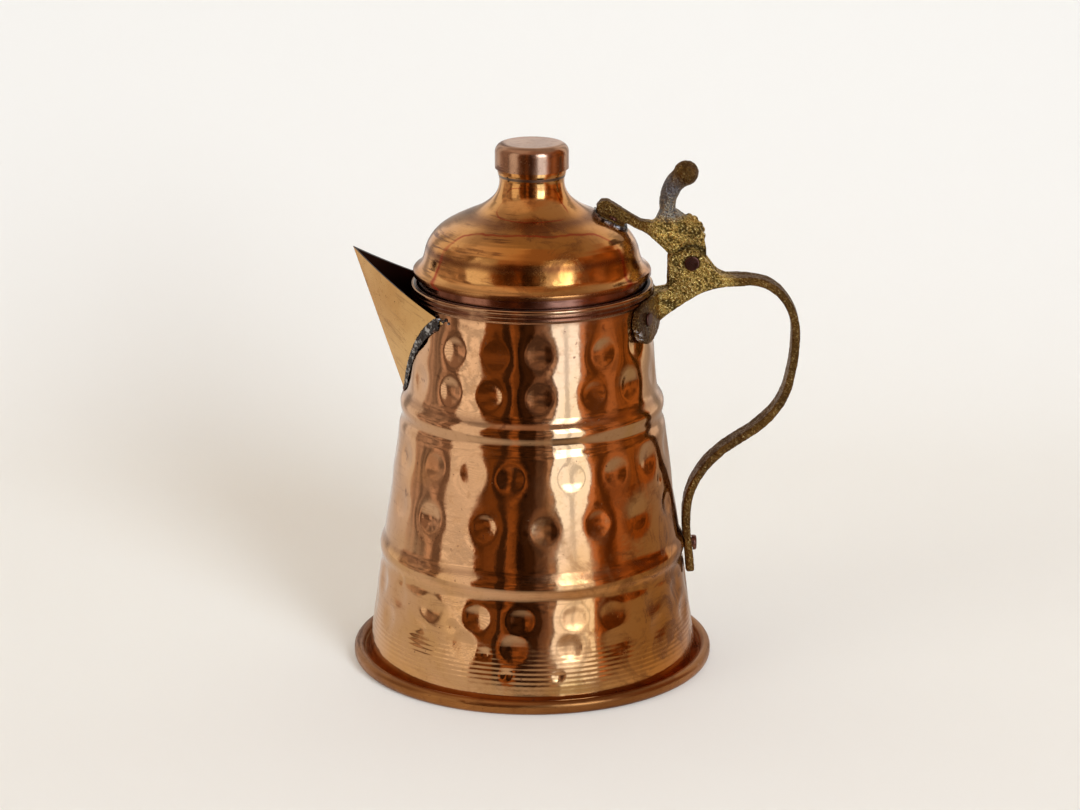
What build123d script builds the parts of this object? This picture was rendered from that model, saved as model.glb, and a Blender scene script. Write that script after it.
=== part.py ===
# Copper coffee pot with a hinged lid, a folded beak spout and a cast brass handle.
# Millimetres. The origin is the middle of the flat base, +Z up along the pot's axis.
# The spout points to -X, the handle to +X, and the lid's hinge pin runs along Y.
from build123d import *
import os
from math import atan2, cos, degrees, hypot, radians, sin, sqrt

# Sheet metal
body_wall = 0.9            # raised body sheet
base_wall = 1.0            # bottom disc
lid_wall = 0.8             # spun lid
knob_wall = 0.8            # knob cap
sleeve_wall = 0.7          # ring under the lid
spout_wall = 0.9           # folded beak sheet

# Body, from the foot up: three tapered bands with a rounded bead between each pair
foot_r, foot_z = 53.75, 4.2            # where the wall leaves the foot's flare
low_band_r, low_band_height = 50.05, 27.3
mid_band_r, mid_band_height = 43.25, 35.4
mouth_r, top_band_height = 38.0, 29.8  # wall's outside at the mouth
valley_depth, bead_depth = 0.7, 0.6    # the groove below each bead, and the bead's rise from it
top_valley_depth = 1.05
valley_rise, bead_rise = 3.6, 3.7
low_bead_drop, low_bead_fall = 1.8, 5.4
top_bead_drop, top_bead_fall = 2.3, 5.7

low_band_z = foot_z + low_band_height
low_valley_r, low_valley_z = low_band_r - valley_depth, low_band_z + valley_rise
low_bead_r, low_bead_z = low_valley_r + bead_depth, low_valley_z + bead_rise
mid_foot_r, mid_foot_z = low_bead_r - low_bead_drop, low_bead_z + low_bead_fall
mid_band_z = mid_foot_z + mid_band_height
top_valley_r, top_valley_z = mid_band_r - top_valley_depth, mid_band_z + valley_rise
top_bead_r, top_bead_z = top_valley_r + bead_depth, top_valley_z + bead_rise
top_foot_r, top_foot_z = top_bead_r - top_bead_drop, top_bead_z + top_bead_fall
collar_z = top_foot_z + top_band_height

# Collar: half-round reeds round the mouth
collar_height = 4.1
reed_count = 3
reed_depth = 0.45
collar_depth = 0.5
collar_bend = 0.6          # height over which the wall turns upright inside the collar
rim_z = collar_z + collar_height

# Foot flange, clinched in the base plate's rolled rim
flange_reach = 3.1         # how far the foot turns out past the wall
flare_reach = 1.6          # where the flare's curve ends on the flange
rim_reach = 5.15           # base plate's rim past the body wall
rim_height = 4.5
rim_roll_r = 1.75          # radius of the roll's top
rim_corner_r = 1.9

# Strainer: rows of holes that fill the V inside the spout
hole_r = 1.5
hole_pitch = 5.2
hole_rows = 5
row_pitch = 4.7
strainer_drop = 5.9        # top row, below the collar

# Spout: a sheet folded along the keel
tip_reach, tip_rise = 19.6, 11.8       # the tip, out from the mouth and up from the rim
keel_foot_rise = 4.8       # where the keel meets the wall, up from the top bead
keel_foot_reach = 1.55
corner_drop = 1.6          # how far under the collar each top edge meets the wall
corner_azimuth = 37.1      # how far round the wall that is
fold_angle = 58.0          # half angle of the fold at the keel
side_angle = 36.0          # half angle where the sheet meets the body
edge_sag = 0.9             # dip of the top edges
fold_r = 1.3
sheet_reach = 46.0         # length of each folded side, well inside the body
seam_leg = 1.0             # width of the solder on the body
seam_height = 0.6          # its height along the spout

# Lid, from its flange up
flange_overhang = 0.2      # flange past the mouth
lid_lift = 3.0             # flange over the rim
flange_lip = 0.9
flare_inset, flare_rise = 1.1, 2.2
lid_wall_inset, lid_wall_rise = 2.65, 4.7
shoulder_inset, shoulder_rise = 6.05, 8.7
crown_inset, crown_rise = 9.8, 4.8
neck_r, neck_rise = 10.35, 9.7
spigot_r, spigot_rise = 11.0, 3.6
spigot_height = 1.8
sleeve_gap = 0.65          # between the sleeve and the inside of the mouth
sleeve_depth = 3.8         # how far the sleeve enters the mouth

flange_r, flange_low_z = mouth_r + flange_overhang, rim_z + lid_lift
flare_r, flare_z = flange_r - flare_inset, flange_low_z + flare_rise
lid_wall_r, lid_wall_z = flare_r - lid_wall_inset, flare_z + lid_wall_rise
shoulder_r, shoulder_z = lid_wall_r - shoulder_inset, lid_wall_z + shoulder_rise
crown_r, crown_z = shoulder_r - crown_inset, shoulder_z + crown_rise
neck_z = crown_z + neck_rise
spigot_z = neck_z + spigot_rise

# Knob: a hollow cap over the neck's spigot
knob_rise = 6.8            # its top over the spigot
knob_edge_r = 3.0
knob_overlap = 1.3

# Hinge
pin_reach, pin_rise = 13.1, 6.8        # out from the mouth, up from the rim
pin_x, pin_z = mouth_r + pin_reach, rim_z + pin_rise
pin_r = 1.8
pin_fit = 0.06             # running clearance of the lever on the pin
pin_head_r, pin_head_t = 2.35, 0.5
ear_r = 4.5                # ears' top, round the pin
fork_width = 9.4
slot_width = 5.5
slot_r = 8.7               # slot's floor, round the pin
slot_sill = 2.4            # slot's sill at the back, under the pin's level
slot_front = 4.0           # the slot is open to the lid this far in front of the pin

# Strap: its top end and loop from the pin, its tail from the lower bead
strap_width, strap_thickness = 8.8, 3.0
strap_edge_r = 0.8
strap_drop = 6.2           # the strap's level top, below the pin
root_reach = 8.9
strap_bend_reach = 18.4
loop_reach, loop_drop = 33.85, 23.8    # furthest reach of the loop
elbow_reach, elbow_drop = 24.5, 53.0
sweep_reach, sweep_drop = 11.9, 62.1
tail_gap, tail_rise = 0.65, 12.2
foot_end_gap, foot_end_drop = 2.0, 9.9
elbow_heading, sweep_heading = -137.0, -144.0
tail_heading, foot_heading = -96.0, -86.0

strap_top_z = pin_z - strap_drop
strap_bend_x = pin_x + strap_bend_reach
tail_x, tail_z = low_bead_r + tail_gap, low_bead_z + tail_rise
foot_end_x, foot_end_z = low_bead_r + foot_end_gap, low_bead_z - foot_end_drop

# Fork, from the pin, and wings, from the collar
cheek_reach, cheek_rise = 7.8, 0.7     # front edge of the cheeks, and its top
cheek_drop, cheek_root_drop = 8.9, 10.1
ear_back_angle = 40.0      # where the ear's round top turns down to the strap
ear_front_reach, ear_front_rise = 2.6, 4.1
belly_reach, belly_drop = 5.3, 15.4    # underside
armpit_reach, armpit_drop, armpit_heading = 2.2, 10.6, 28.0
valley_reach = 12.5        # where the ear's back has come down to the strap
root_drop = 11.8           # the fork's lowest point on the wall, below the collar
root_overlap = 2.0         # how far the fork's blank runs into the body before it is cut
wing_thickness = 2.5
wing_azimuth = 25.0
wing_pad_r = 7.0
wing_drop = 5.2            # middle of each pad, below the collar
wing_neck_r = 5.2
wing_neck_rise = 1.2

cheek_x, cheek_top_z = pin_x - cheek_reach, pin_z + cheek_rise
cheek_foot_z, cheek_root_z = pin_z - cheek_drop, pin_z - cheek_root_drop
root_low_z = collar_z - root_drop
wing_z = collar_z - wing_drop

# Rivets
rivet_r = 1.6
rivet_fit = 0.03
wing_head_r, wing_head_t = 2.2, 0.5
wing_rivet_rise = 1.0      # above the middle of the pad
foot_head_r, foot_head_t = 2.5, 1.1
foot_rivet_drop = 1.0      # below the bead's crest
peen_r, peen_t = 2.6, 0.8  # heads inside the pot
wing_rivet_z = wing_z + wing_rivet_rise
foot_rivet_z = low_bead_z - foot_rivet_drop

# Lever's foot: a lug on the dome
lug_inset = 3.2            # middle of the lug, in from the lid's shoulder
lug_x = shoulder_r - lug_inset
lug_z = shoulder_z + (crown_z - shoulder_z) * lug_inset / (shoulder_r - crown_r)
lug_length, lug_width = 8.6, 11.6
lug_corner_r = 3.0
lug_thickness = 1.3
lid_rivet_r, lid_rivet_y = 0.9, 4.1
lid_head_r, lid_head_t = 1.45, 0.7
lid_solder_rim, lid_solder_height = 1.0, 0.7

# Lever: its nose from the lug, the rest from the pin
lever_width = 5.0
lever_edge_r = 1.0
knuckle_r = 4.9
arm_mid = (-14.5, 9.0)     # underside
arm_rest = (-21.7, 12.6)
nose_low_reach = 4.6       # nose, out from the middle of the lug
nose_reach, nose_rise = 4.8, 4.9
nose_top_reach, nose_top_rise = 3.2, 6.7
nose_end_reach = 0.8
arm_top = (-16.4, 13.6)    # top side
crotch = (-12.2, 12.9)
fork_top_rise = 16.9       # where the knuckle's web ends round the stem
neck_back = (2.7, 11.5)
back = (3.7, 9.2)
heel = (4.9, 4.0)
stem_r, stem_neck_r = 2.6, 3.8         # the stem thickens from its foot to the ball
stem_swell = 1.8           # above 1, the stem thickens late
stem_low = (-6.7, 9.9)
stem_bend = (-7.8, 18.7)
stem_top = (-6.2, 24.4)
ball, ball_r = (-2.1, 28.5), 4.3

PROFILE = Plane.XZ
far = 60.0                 # reach of a cutter that only has to pass clean through
drill_reach = 10.0         # how far a rivet's drill reaches to each side of the wall
head_round = 0.7           # share of a rivet head's height that its edge is rounded by
stem_steps = 6             # rings that the lever's stem is lofted through, less one


def biarc(start, end):
    """Two tangent arcs, or one line, from a station to the next. A station is x, z, heading."""
    (ax, az, ah), (bx, bz, bh) = start, end
    tax, taz = cos(radians(ah)), sin(radians(ah))
    tbx, tbz = cos(radians(bh)), sin(radians(bh))
    vx, vz = bx - ax, bz - az
    length = hypot(vx, vz)
    off_line = abs(vx * taz - vz * tax) + abs(vx * tbz - vz * tbx)
    if off_line < 1e-6 * length:
        return [Line((ax, az), (bx, bz))]
    along = vx * (tax + tbx) + vz * (taz + tbz)
    turn = 2 * (1 - tax * tbx - taz * tbz)
    if turn < 1e-9:
        reach = length**2 / (2 * along)
    else:
        reach = (sqrt(along**2 + turn * length**2) - along) / turn
    mx = (ax + bx + reach * (tax - tbx)) / 2
    mz = (az + bz + reach * (taz - tbz)) / 2
    joint = (bx - reach * tbx - ax - reach * tax, bz - reach * tbz - az - reach * taz)
    return [bend((ax, az), (tax, taz), (mx, mz)), bend((mx, mz), joint, (bx, bz))]


def bend(start, tangent, end):
    """An arc that leaves start along tangent, or a line where it needs no bend."""
    vx, vz = end[0] - start[0], end[1] - start[1]
    size = hypot(*tangent) * hypot(vx, vz)
    if abs(vx * tangent[1] - vz * tangent[0]) < 1e-7 * size:
        return Line(start, end)
    return TangentArc(start, end, tangent=tangent)


def flow(stations):
    """The edges of a smooth line through its stations."""
    edges = []
    for start, end in zip(stations, stations[1:]):
        edges += biarc(start, end)
    return edges


def moved(stations, inward):
    """The stations moved square to their headings, to the left where inward is positive."""
    return [
        (x - inward * sin(radians(h)), z + inward * cos(radians(h)), h)
        for x, z, h in stations
    ]


def closed_face(edges, *points):
    """A face in the profile plane, closed from the last edge back to the first by points."""
    first, last = edges[0] @ 0, edges[-1] @ 1
    route = [(last.X, last.Y), *points, (first.X, first.Y)]
    sides = [Line(a, b) for a, b in zip(route, route[1:]) if hypot(a[0] - b[0], a[1] - b[1]) > 1e-6]
    return make_face([*edges, *sides])


def spun(face):
    return revolve(PROFILE * face, Axis.Z)


def spun_sheet(stations, wall):
    """Sheet metal spun round the axis: the stations run along its outside, its wall is inward."""
    outside = flow(stations)
    inside = flow(moved(stations, wall))
    ends = [Line(outside[-1] @ 1, inside[-1] @ 1), Line(inside[0] @ 0, outside[0] @ 0)]
    ends = [end for end in ends if end.length > 1e-6]
    return spun(make_face([*outside, *ends, *inside]))


def spun_solid(stations):
    """The space inside a spun outline, filled to the axis."""
    (_, z_first, _), (_, z_last, _) = stations[0], stations[-1]
    return spun(closed_face(flow(stations), (0, z_last), (0, z_first)))


def slope(r_low, z_low, r_high, z_high):
    return degrees(atan2(z_high - z_low, r_high - r_low))


# Body

low_slope = slope(foot_r, foot_z, low_band_r, low_band_z)
mid_slope = slope(mid_foot_r, mid_foot_z, mid_band_r, mid_band_z)
top_slope = slope(top_foot_r, top_foot_z, mouth_r, collar_z)

wall_stations = [
    (foot_r, foot_z, low_slope),
    (low_band_r, low_band_z, low_slope),
    (low_valley_r, low_valley_z, 90),
    (low_bead_r, low_bead_z, 90),
    (mid_foot_r, mid_foot_z, mid_slope),
    (mid_band_r, mid_band_z, mid_slope),
    (top_valley_r, top_valley_z, 90),
    (top_bead_r, top_bead_z, 90),
    (top_foot_r, top_foot_z, top_slope),
    (mouth_r, collar_z, top_slope),
]
flange_top_z = base_wall + body_wall
foot_stations = [
    (foot_r + flange_reach, flange_top_z, 180),
    (foot_r + flare_reach, flange_top_z, 180),
]
rim_stations = [(mouth_r, collar_z + collar_bend, 90), (mouth_r, rim_z, 90)]


def wall_radius(z):
    """Radius of the upper band's outside at a height."""
    return top_foot_r + (mouth_r - top_foot_r) * (z - top_foot_z) / top_band_height


def collar_band():
    """The reeded band that stiffens the mouth."""
    outer_r = mouth_r + collar_depth
    step = (rim_z - collar_z) / reed_count
    edges = []
    for reed in range(reed_count):
        low, high = collar_z + reed * step, collar_z + (reed + 1) * step
        crest = (outer_r + reed_depth, (low + high) / 2)
        edges.append(ThreePointArc((outer_r, low), crest, (outer_r, high)))
    inner_r = mouth_r - body_wall / 2
    return spun(closed_face(edges, (inner_r, rim_z), (inner_r, collar_z)))


body_space = spun_solid(wall_stations + rim_stations) + collar_band()


def strainer_holes():
    """Drills for the rows of strainer holes, one hole fewer in each row down."""
    drills = []
    for row in range(hole_rows):
        z = collar_z - strainer_drop - row * row_pitch
        count = hole_rows - row
        for place in range(count):
            azimuth = (place - (count - 1) / 2) * degrees(hole_pitch / mouth_r)
            drills.append(drill(180 + azimuth, z, hole_r, mouth_r))
    return drills


def radial_rod(azimuth, z, radius, r_from, r_to):
    """A rod square to the axis, from one radius to another."""
    out = Vector(cos(radians(azimuth)), sin(radians(azimuth)), 0)
    start = Plane(origin=out * r_from + Vector(0, 0, z), z_dir=out)
    return extrude(start * Circle(radius), r_to - r_from)


def drill(azimuth, z, radius, wall_r):
    return radial_rod(azimuth, z, radius, wall_r - drill_reach, wall_r + drill_reach)


def rivet_drills():
    """Drills for the three rivets that hold the handle to the body."""
    radius = rivet_r + rivet_fit
    drills = [drill(azimuth, wing_rivet_z, radius, mouth_r) for azimuth in wing_azimuths]
    return [*drills, drill(0, foot_rivet_z, radius, low_bead_r)]


def body_shell():
    shell = spun_sheet(foot_stations + wall_stations + rim_stations, body_wall) + collar_band()
    return shell - strainer_holes() - rivet_drills()


def base_plate():
    """Bottom disc with its edge turned up and rolled over the body's flange."""
    rim_r = foot_r + rim_reach
    lip_r = rim_r - 2 * rim_roll_r
    roll_z = rim_height - rim_roll_r
    stations = [
        (0, 0, 0),
        (rim_r - rim_corner_r, 0, 0),
        (rim_r, rim_corner_r, 90),
        (rim_r, roll_z, 90),
        (lip_r, roll_z, 270),
        (lip_r, flange_top_z, 270),
    ]
    return spun_sheet(stations, base_wall)


# Spout

corner_z = collar_z - corner_drop
corner_x = -wall_radius(corner_z) * cos(radians(corner_azimuth))
tip_x, tip_z = -mouth_r - tip_reach, rim_z + tip_rise
keel_foot_z = top_bead_z + keel_foot_rise
keel_foot_x = -wall_radius(keel_foot_z) - keel_foot_reach
keel = Vector(tip_x - keel_foot_x, 0, tip_z - keel_foot_z).normalized()
spout_plane = Plane(origin=(keel_foot_x, 0, keel_foot_z), x_dir=(keel.Z, 0, -keel.X), z_dir=keel)


def spout_prism(outward):
    """The beak as a filled prism along its keel, its walls moved out or in."""
    nose = -outward / sin(radians(fold_angle))
    mean_angle = radians((fold_angle + side_angle) / 2)
    half = sheet_reach * sin(mean_angle) + outward * cos(radians(side_angle))
    run = sheet_reach * cos(mean_angle) - outward * sin(radians(side_angle))
    edges = []
    for side in (1, -1):
        start_dir = (cos(radians(fold_angle)), side * sin(radians(fold_angle)))
        edges.append(TangentArc((nose, 0), (run, side * half), tangent=start_dir))
    back = Line(edges[0] @ 1, edges[1] @ 1)
    face = make_face([*edges, back])
    keel_corner = face.vertices().sort_by(Axis.X)[0]
    face = fillet(keel_corner, fold_r + outward)
    return extrude(spout_plane * face, far, both=True)


def spout_top_trim():
    """Everything above the beak's slanting, slightly dipped top edges."""
    fall = (tip_z - corner_z) / (corner_x - tip_x)
    far_x, far_z = corner_x + far, corner_z - far * fall
    near_x, near_z = tip_x - far, tip_z + far * fall
    middle = ((tip_x + corner_x) / 2, (tip_z + corner_z) / 2 - edge_sag)
    edge = ThreePointArc((tip_x, tip_z), middle, (corner_x, corner_z))
    route = [
        Line((near_x, near_z), (tip_x, tip_z)),
        edge,
        Line((corner_x, corner_z), (far_x, far_z)),
    ]
    top_z = near_z + far
    return plate(closed_face(route, (far_x, top_z), (near_x, top_z)), 2 * far)


def spout_outside():
    return spout_prism(0) - spout_top_trim() - body_space


def spout():
    return trimmed_front(spout_outside() - spout_prism(-spout_wall))


def trimmed_front(shape):
    """Keeps what lies in front of the body's axis plane, on the spout's side."""
    front = Pos(-far, 0, corner_z) * Box(2 * far, 2 * far, 2 * far)
    return largest(shape & front)


def largest(shape):
    return sorted(shape.solids(), key=lambda solid: solid.volume)[-1]


def spout_solder():
    """Run of solder in the corner between the beak and the wall."""
    swollen = spun_solid(moved(wall_stations, -seam_leg) + [(mouth_r + seam_leg, rim_z, 90)])
    run = (spout_prism(seam_height) - spout_prism(0) - body_space) & swollen
    above = Pos(0, 0, corner_z + far) * Box(4 * far, 4 * far, 2 * far)
    behind = Pos(corner_x + seam_leg + far, 0, corner_z) * Box(2 * far, 4 * far, 4 * far)
    return trimmed_front(run - above - behind)


# Handle

wing_azimuths = (wing_azimuth, -wing_azimuth)


def plate(face, width):
    """A casting outline given thickness, half to each side of the handle's plane."""
    return extrude(PROFILE * face, width / 2, both=True)


def strap():
    """The strap, swept along its looping centre line."""
    stations = [
        (pin_x + root_reach, strap_top_z, 0),
        (strap_bend_x, strap_top_z, 0),
        (pin_x + loop_reach, pin_z - loop_drop, -90),
        (pin_x + elbow_reach, pin_z - elbow_drop, elbow_heading),
        (pin_x + sweep_reach, pin_z - sweep_drop, sweep_heading),
        (tail_x, tail_z, tail_heading),
        (foot_end_x, foot_end_z, foot_heading),
    ]
    route = PROFILE * Wire(flow(stations))
    start = Plane(origin=(pin_x + root_reach, 0, strap_top_z), x_dir=(0, 1, 0), z_dir=(1, 0, 0))
    return sweep(start * RectangleRounded(strap_width, strap_thickness, strap_edge_r), path=route)


def fork_outline():
    """Side view of the hinge fork, from the wall out to the strap."""
    top = strap_top_z + strap_thickness / 2
    under = strap_top_z - strap_thickness / 2
    root_x = wall_radius(root_low_z) - root_overlap
    belly = (pin_x - belly_reach, pin_z - belly_drop)
    valley_x = pin_x + valley_reach
    ear_back = (
        pin_x + ear_r * cos(radians(ear_back_angle)),
        pin_z + ear_r * sin(radians(ear_back_angle)),
        ear_back_angle + 90,
    )
    armpit = (pin_x + armpit_reach, pin_z - armpit_drop, armpit_heading)
    ear_front = (pin_x - ear_front_reach, pin_z + ear_front_rise, 190)
    edges = [
        ThreePointArc((root_x, root_low_z), belly, armpit[:2]),
        *biarc(armpit, (strap_bend_x, under, 0)),
        Line((strap_bend_x, under), (strap_bend_x, top)),
        Line((strap_bend_x, top), (valley_x, top)),
        *flow([(valley_x, top, 180), ear_back, ear_front, (cheek_x, cheek_top_z, -95)]),
    ]
    return closed_face(edges, (cheek_x, cheek_foot_z), (root_x, cheek_root_z))


def slot_cutter():
    """The slot that the lever turns in, open to the lid, the top and the back."""
    floor = plate(Pos(pin_x, pin_z) * Circle(slot_r), slot_width)
    above = Pos(pin_x, 0, pin_z - slot_sill + far / 2) * Box(far / 3, slot_width, far)
    front = Pos(pin_x - slot_front - far / 2, 0, cheek_foot_z + far / 2) * Box(far, slot_width, far)
    return floor + above + front


def wing(azimuth):
    """A leaf of the casting that clasps the body: a round pad and a neck back to the fork."""
    out = Vector(cos(radians(azimuth)), sin(radians(azimuth)), 0)
    side = 1 if azimuth > 0 else -1
    face_plane = Plane(origin=Vector(0, 0, wing_z), x_dir=out.rotate(Axis.Z, -90 * side), z_dir=out)
    reach = mouth_r * radians(abs(azimuth))
    rise = wing_neck_rise if face_plane.y_dir.Z > 0 else -wing_neck_rise
    leaf = make_hull([*Circle(wing_pad_r).edges(), *(Pos(reach, rise) * Circle(wing_neck_r)).edges()])
    return extrude(face_plane.offset(mouth_r) * leaf, drill_reach, both=True)


def wing_skin():
    """The thickness of metal that the wings are cut from, just outside the upper band."""
    low, high = wing_z - 2 * wing_pad_r, wing_z + 2 * wing_pad_r
    ring = [
        (wall_radius(low) + wing_thickness, low, top_slope),
        (wall_radius(high) + wing_thickness, high, top_slope),
    ]
    return spun_solid(ring)


def handle():
    wings = [wing(azimuth) & wing_skin() for azimuth in wing_azimuths]
    casting = plate(fork_outline(), fork_width) - slot_cutter() + wings + strap()
    pin_hole = plate(Pos(pin_x, pin_z) * Circle(pin_r + rivet_fit), far)
    return largest(casting - body_space - pin_hole - rivet_drills())


# Rivets and pin

inner_space = spun_solid(moved(wall_stations, body_wall))


def far_rim(shape, sign):
    """The head's edge that lies furthest from the pot's axis, or nearest to it."""
    return shape.edges().sort_by(lambda edge: sign * hypot(edge.center().X, edge.center().Y))[-1]


def headed_rivet(azimuth, z, wall_r, face_r, head, seat):
    """A rivet square to the wall: a rounded head on its seat, and a peened end inside the pot."""
    head_r, head_t = head
    shank = radial_rod(azimuth, z, rivet_r, wall_r - body_wall - peen_t / 2, face_r + head_t / 2)
    outer = radial_rod(azimuth, z, head_r, wall_r, face_r + head_t)
    outer = fillet(far_rim(outer, 1), head_t * head_round) - seat
    inner = radial_rod(azimuth, z, peen_r, wall_r - body_wall - peen_t, wall_r)
    inner = fillet(far_rim(inner, -1), peen_t * head_round) & inner_space
    return outer + shank + inner


def wing_rivets():
    wall_r = wall_radius(wing_rivet_z)
    head = (wing_head_r, wing_head_t)
    pair = [
        headed_rivet(azimuth, wing_rivet_z, wall_r, wall_r + wing_thickness, head, wing_skin())
        for azimuth in wing_azimuths
    ]
    return Compound(children=[one.solid() for one in pair])


def strap_face_x():
    """Where the strap's outer face stands at the foot rivet's height."""
    share = (foot_rivet_z - foot_end_z) / (tail_z - foot_end_z)
    return foot_end_x + (tail_x - foot_end_x) * share + strap_thickness / 2


def foot_rivet():
    face_r = strap_face_x()
    inside_strap = Pos(face_r - (strap_thickness + far) / 2, 0, foot_rivet_z) * Box(far, far, far)
    head = (foot_head_r, foot_head_t)
    return headed_rivet(0, foot_rivet_z, low_bead_r, face_r, head, strap() + inside_strap)


def hinge_pin():
    """Pin through both ears, peened over at each end."""
    length = fork_width + 2 * pin_head_t
    pin = plate(Pos(pin_x, pin_z) * Circle(pin_r), length)
    for side in (1, -1):
        head = extrude(PROFILE * (Pos(pin_x, pin_z) * Circle(pin_head_r)), pin_head_t)
        head = Pos(0, side * (fork_width + pin_head_t) / 2 + pin_head_t / 2, 0) * head
        rim = head.edges().sort_by(Axis.Y)[-1 if side > 0 else 0]
        pin += fillet(rim, pin_head_t * head_round)
    return pin


# Knob and lid

lid_stations = [
    (flange_r, flange_low_z, 90),
    (flange_r, flange_low_z + flange_lip, 90),
    (flare_r, flare_z, 150),
    (lid_wall_r, lid_wall_z, 101),
    (shoulder_r, shoulder_z, 148),
    (crown_r, crown_z, 155),
    (neck_r, neck_z, 90),
    (spigot_r, spigot_z, 90),
    (spigot_r, spigot_z + spigot_height, 90),
]
lid_space = spun_solid(lid_stations)
under_lid = spun_solid([(flange_r - lid_wall, rim_z - far, 90)] + moved(lid_stations, lid_wall))


def lid_shell():
    return spun_sheet(lid_stations, lid_wall) - lid_drills()


def lid_sleeve():
    """Ring that enters the mouth, its top edge soldered inside the lid's flare."""
    outer_r = mouth_r - body_wall - sleeve_gap
    low_z = rim_z - sleeve_depth
    height = lid_wall_z - low_z
    ring = Cylinder(outer_r, height) - Cylinder(outer_r - sleeve_wall, height)
    return largest(Pos(0, 0, low_z + height / 2) * ring & under_lid)


def lid_knob():
    cap_r = spigot_r + knob_wall
    low_z = spigot_z + spigot_height - knob_overlap
    knob_top_z = spigot_z + spigot_height + knob_rise
    stations = [
        (cap_r, low_z, 90),
        (cap_r, knob_top_z - knob_edge_r, 90),
        (cap_r - knob_edge_r, knob_top_z, 180),
        (0, knob_top_z, 180),
    ]
    return spun_sheet(stations, knob_wall)


# Lever

lug_heading = slope(shoulder_r, shoulder_z, crown_r, crown_z)
dome_out = Vector(sin(radians(lug_heading)), 0, -cos(radians(lug_heading)))


def lid_rivet_rod(side, radius, low, high):
    """A rod square to the dome at one of the lever's two rivets."""
    place = Vector(lug_x, side * lid_rivet_y, lug_z)
    start = Plane(origin=place + dome_out * low, z_dir=dome_out)
    return extrude(start * Circle(radius), high - low)


def lid_drills():
    """Drills for the two rivets of the lever's foot."""
    return [lid_rivet_rod(side, lid_rivet_r + rivet_fit, -drill_reach / 2, drill_reach / 2) for side in (1, -1)]


def dome_space(thickness):
    """The lid's dome, filled, with a layer of even thickness laid on it."""
    return spun_solid(moved(lid_stations[3:7], -thickness))


def dome_skin(thickness):
    return dome_space(thickness) - lid_space


lug_space = dome_space(lug_thickness)


def lug(margin, thickness):
    """Rounded pad that follows the dome under the lever's foot."""
    flat = RectangleRounded(lug_length + 2 * margin, lug_width + 2 * margin, lug_corner_r + margin)
    return extrude(Pos(lug_x, 0, lug_z) * flat, drill_reach, both=True) & dome_skin(thickness)


def from_pin(offset, *heading):
    return (pin_x + offset[0], pin_z + offset[1], *heading)


def lever_outline():
    """Side view of the lever's arm and knuckle."""
    fork_top_z = pin_z + fork_top_rise
    nose_top_z = lug_z + nose_top_rise
    points = [
        from_pin((-knuckle_r, 0)),
        from_pin(arm_mid),
        from_pin(arm_rest),
        (lug_x - nose_low_reach, lug_z),
        (lug_x - nose_reach, lug_z + nose_rise),
        (lug_x - nose_top_reach, nose_top_z),
        (lug_x - nose_end_reach, nose_top_z),
        from_pin(arm_top),
        from_pin(crotch),
        (pin_x + stem_bend[0] - stem_r, fork_top_z),
        (pin_x + stem_bend[0] + stem_r, fork_top_z),
        from_pin(neck_back),
        from_pin(back),
        from_pin(heel),
        from_pin((heel[0], 0)),
    ]
    return make_face(Polyline(*points, close=True))


def lever_stem():
    """Round stem that leans back, and swells as it bends over to the ball."""
    stations = [
        from_pin(stem_low, 96),
        from_pin(stem_bend, 88),
        from_pin(stem_top, 58),
        from_pin(ball, 40),
    ]
    route = PROFILE * Wire(flow(stations))
    rings = []
    for step in range(stem_steps + 1):
        share = step / stem_steps
        radius = stem_r + (stem_neck_r - stem_r) * share**stem_swell
        rings.append(Plane(origin=route @ share, z_dir=route % share) * Circle(radius))
    return loft(rings)


def lid_lever():
    outline = lever_outline()
    corners = [v for v in outline.vertices() if v.Y > pin_z + back[1] or v.X < pin_x + crotch[0]]
    bar = plate(fillet(corners, lever_edge_r), lever_width)
    bar += plate(Pos(pin_x, pin_z) * Circle(knuckle_r), lever_width)
    ball_x, ball_z = from_pin(ball)
    lever = bar + lever_stem() + Pos(ball_x, 0, ball_z) * Sphere(ball_r) + lug(0, lug_thickness)
    pin_hole = plate(Pos(pin_x, pin_z) * Circle(pin_r + pin_fit), far)
    return lever - lid_space - pin_hole - lid_drills()


def lid_rivets():
    """Two small rivets through the lever's foot and the dome."""
    pair = []
    for side in (1, -1):
        outer = lid_rivet_rod(side, lid_head_r, 0, lug_thickness + lid_head_t)
        top = outer.edges().sort_by(Axis.Z)[-1]
        outer = fillet(top, lid_head_t * head_round) - lug_space
        shank = lid_rivet_rod(side, lid_rivet_r, -lid_wall - lid_head_t / 2, lug_thickness + lid_head_t / 2)
        inner = lid_rivet_rod(side, lid_head_r, -lid_wall - lid_head_t, 0) & under_lid
        pair.append((outer + shank + inner).solid())
    return Compound(children=pair)


def lid_solder():
    """Thin skirt of solder round the lever's foot."""
    skirt = lug(lid_solder_rim, lid_solder_height)
    return largest(skirt - lid_lever() - lid_rivets())


nodes = {}


def keep(name, shape):
    shape.label = name
    nodes[name] = shape


if __name__ == "__main__":
    keep("body_shell", body_shell())
    keep("base_plate", base_plate())
    keep("spout", spout())
    keep("spout_solder", spout_solder())
    keep("handle", handle())
    keep("wing_rivets", wing_rivets())
    keep("foot_rivet", foot_rivet())
    keep("hinge_pin", hinge_pin())
    keep("lid_shell", lid_shell())
    keep("lid_sleeve", lid_sleeve())
    keep("lid_knob", lid_knob())
    keep("lid_lever", lid_lever())
    keep("lid_rivets", lid_rivets())
    keep("lid_solder", lid_solder())
    os.makedirs("parts", exist_ok=True)
    for name, shape in nodes.items():
        print(name, len(shape.solids()), "solid", round(shape.volume, 1), "mm3")
        export_step(shape, f"parts/{name}.step")
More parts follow.
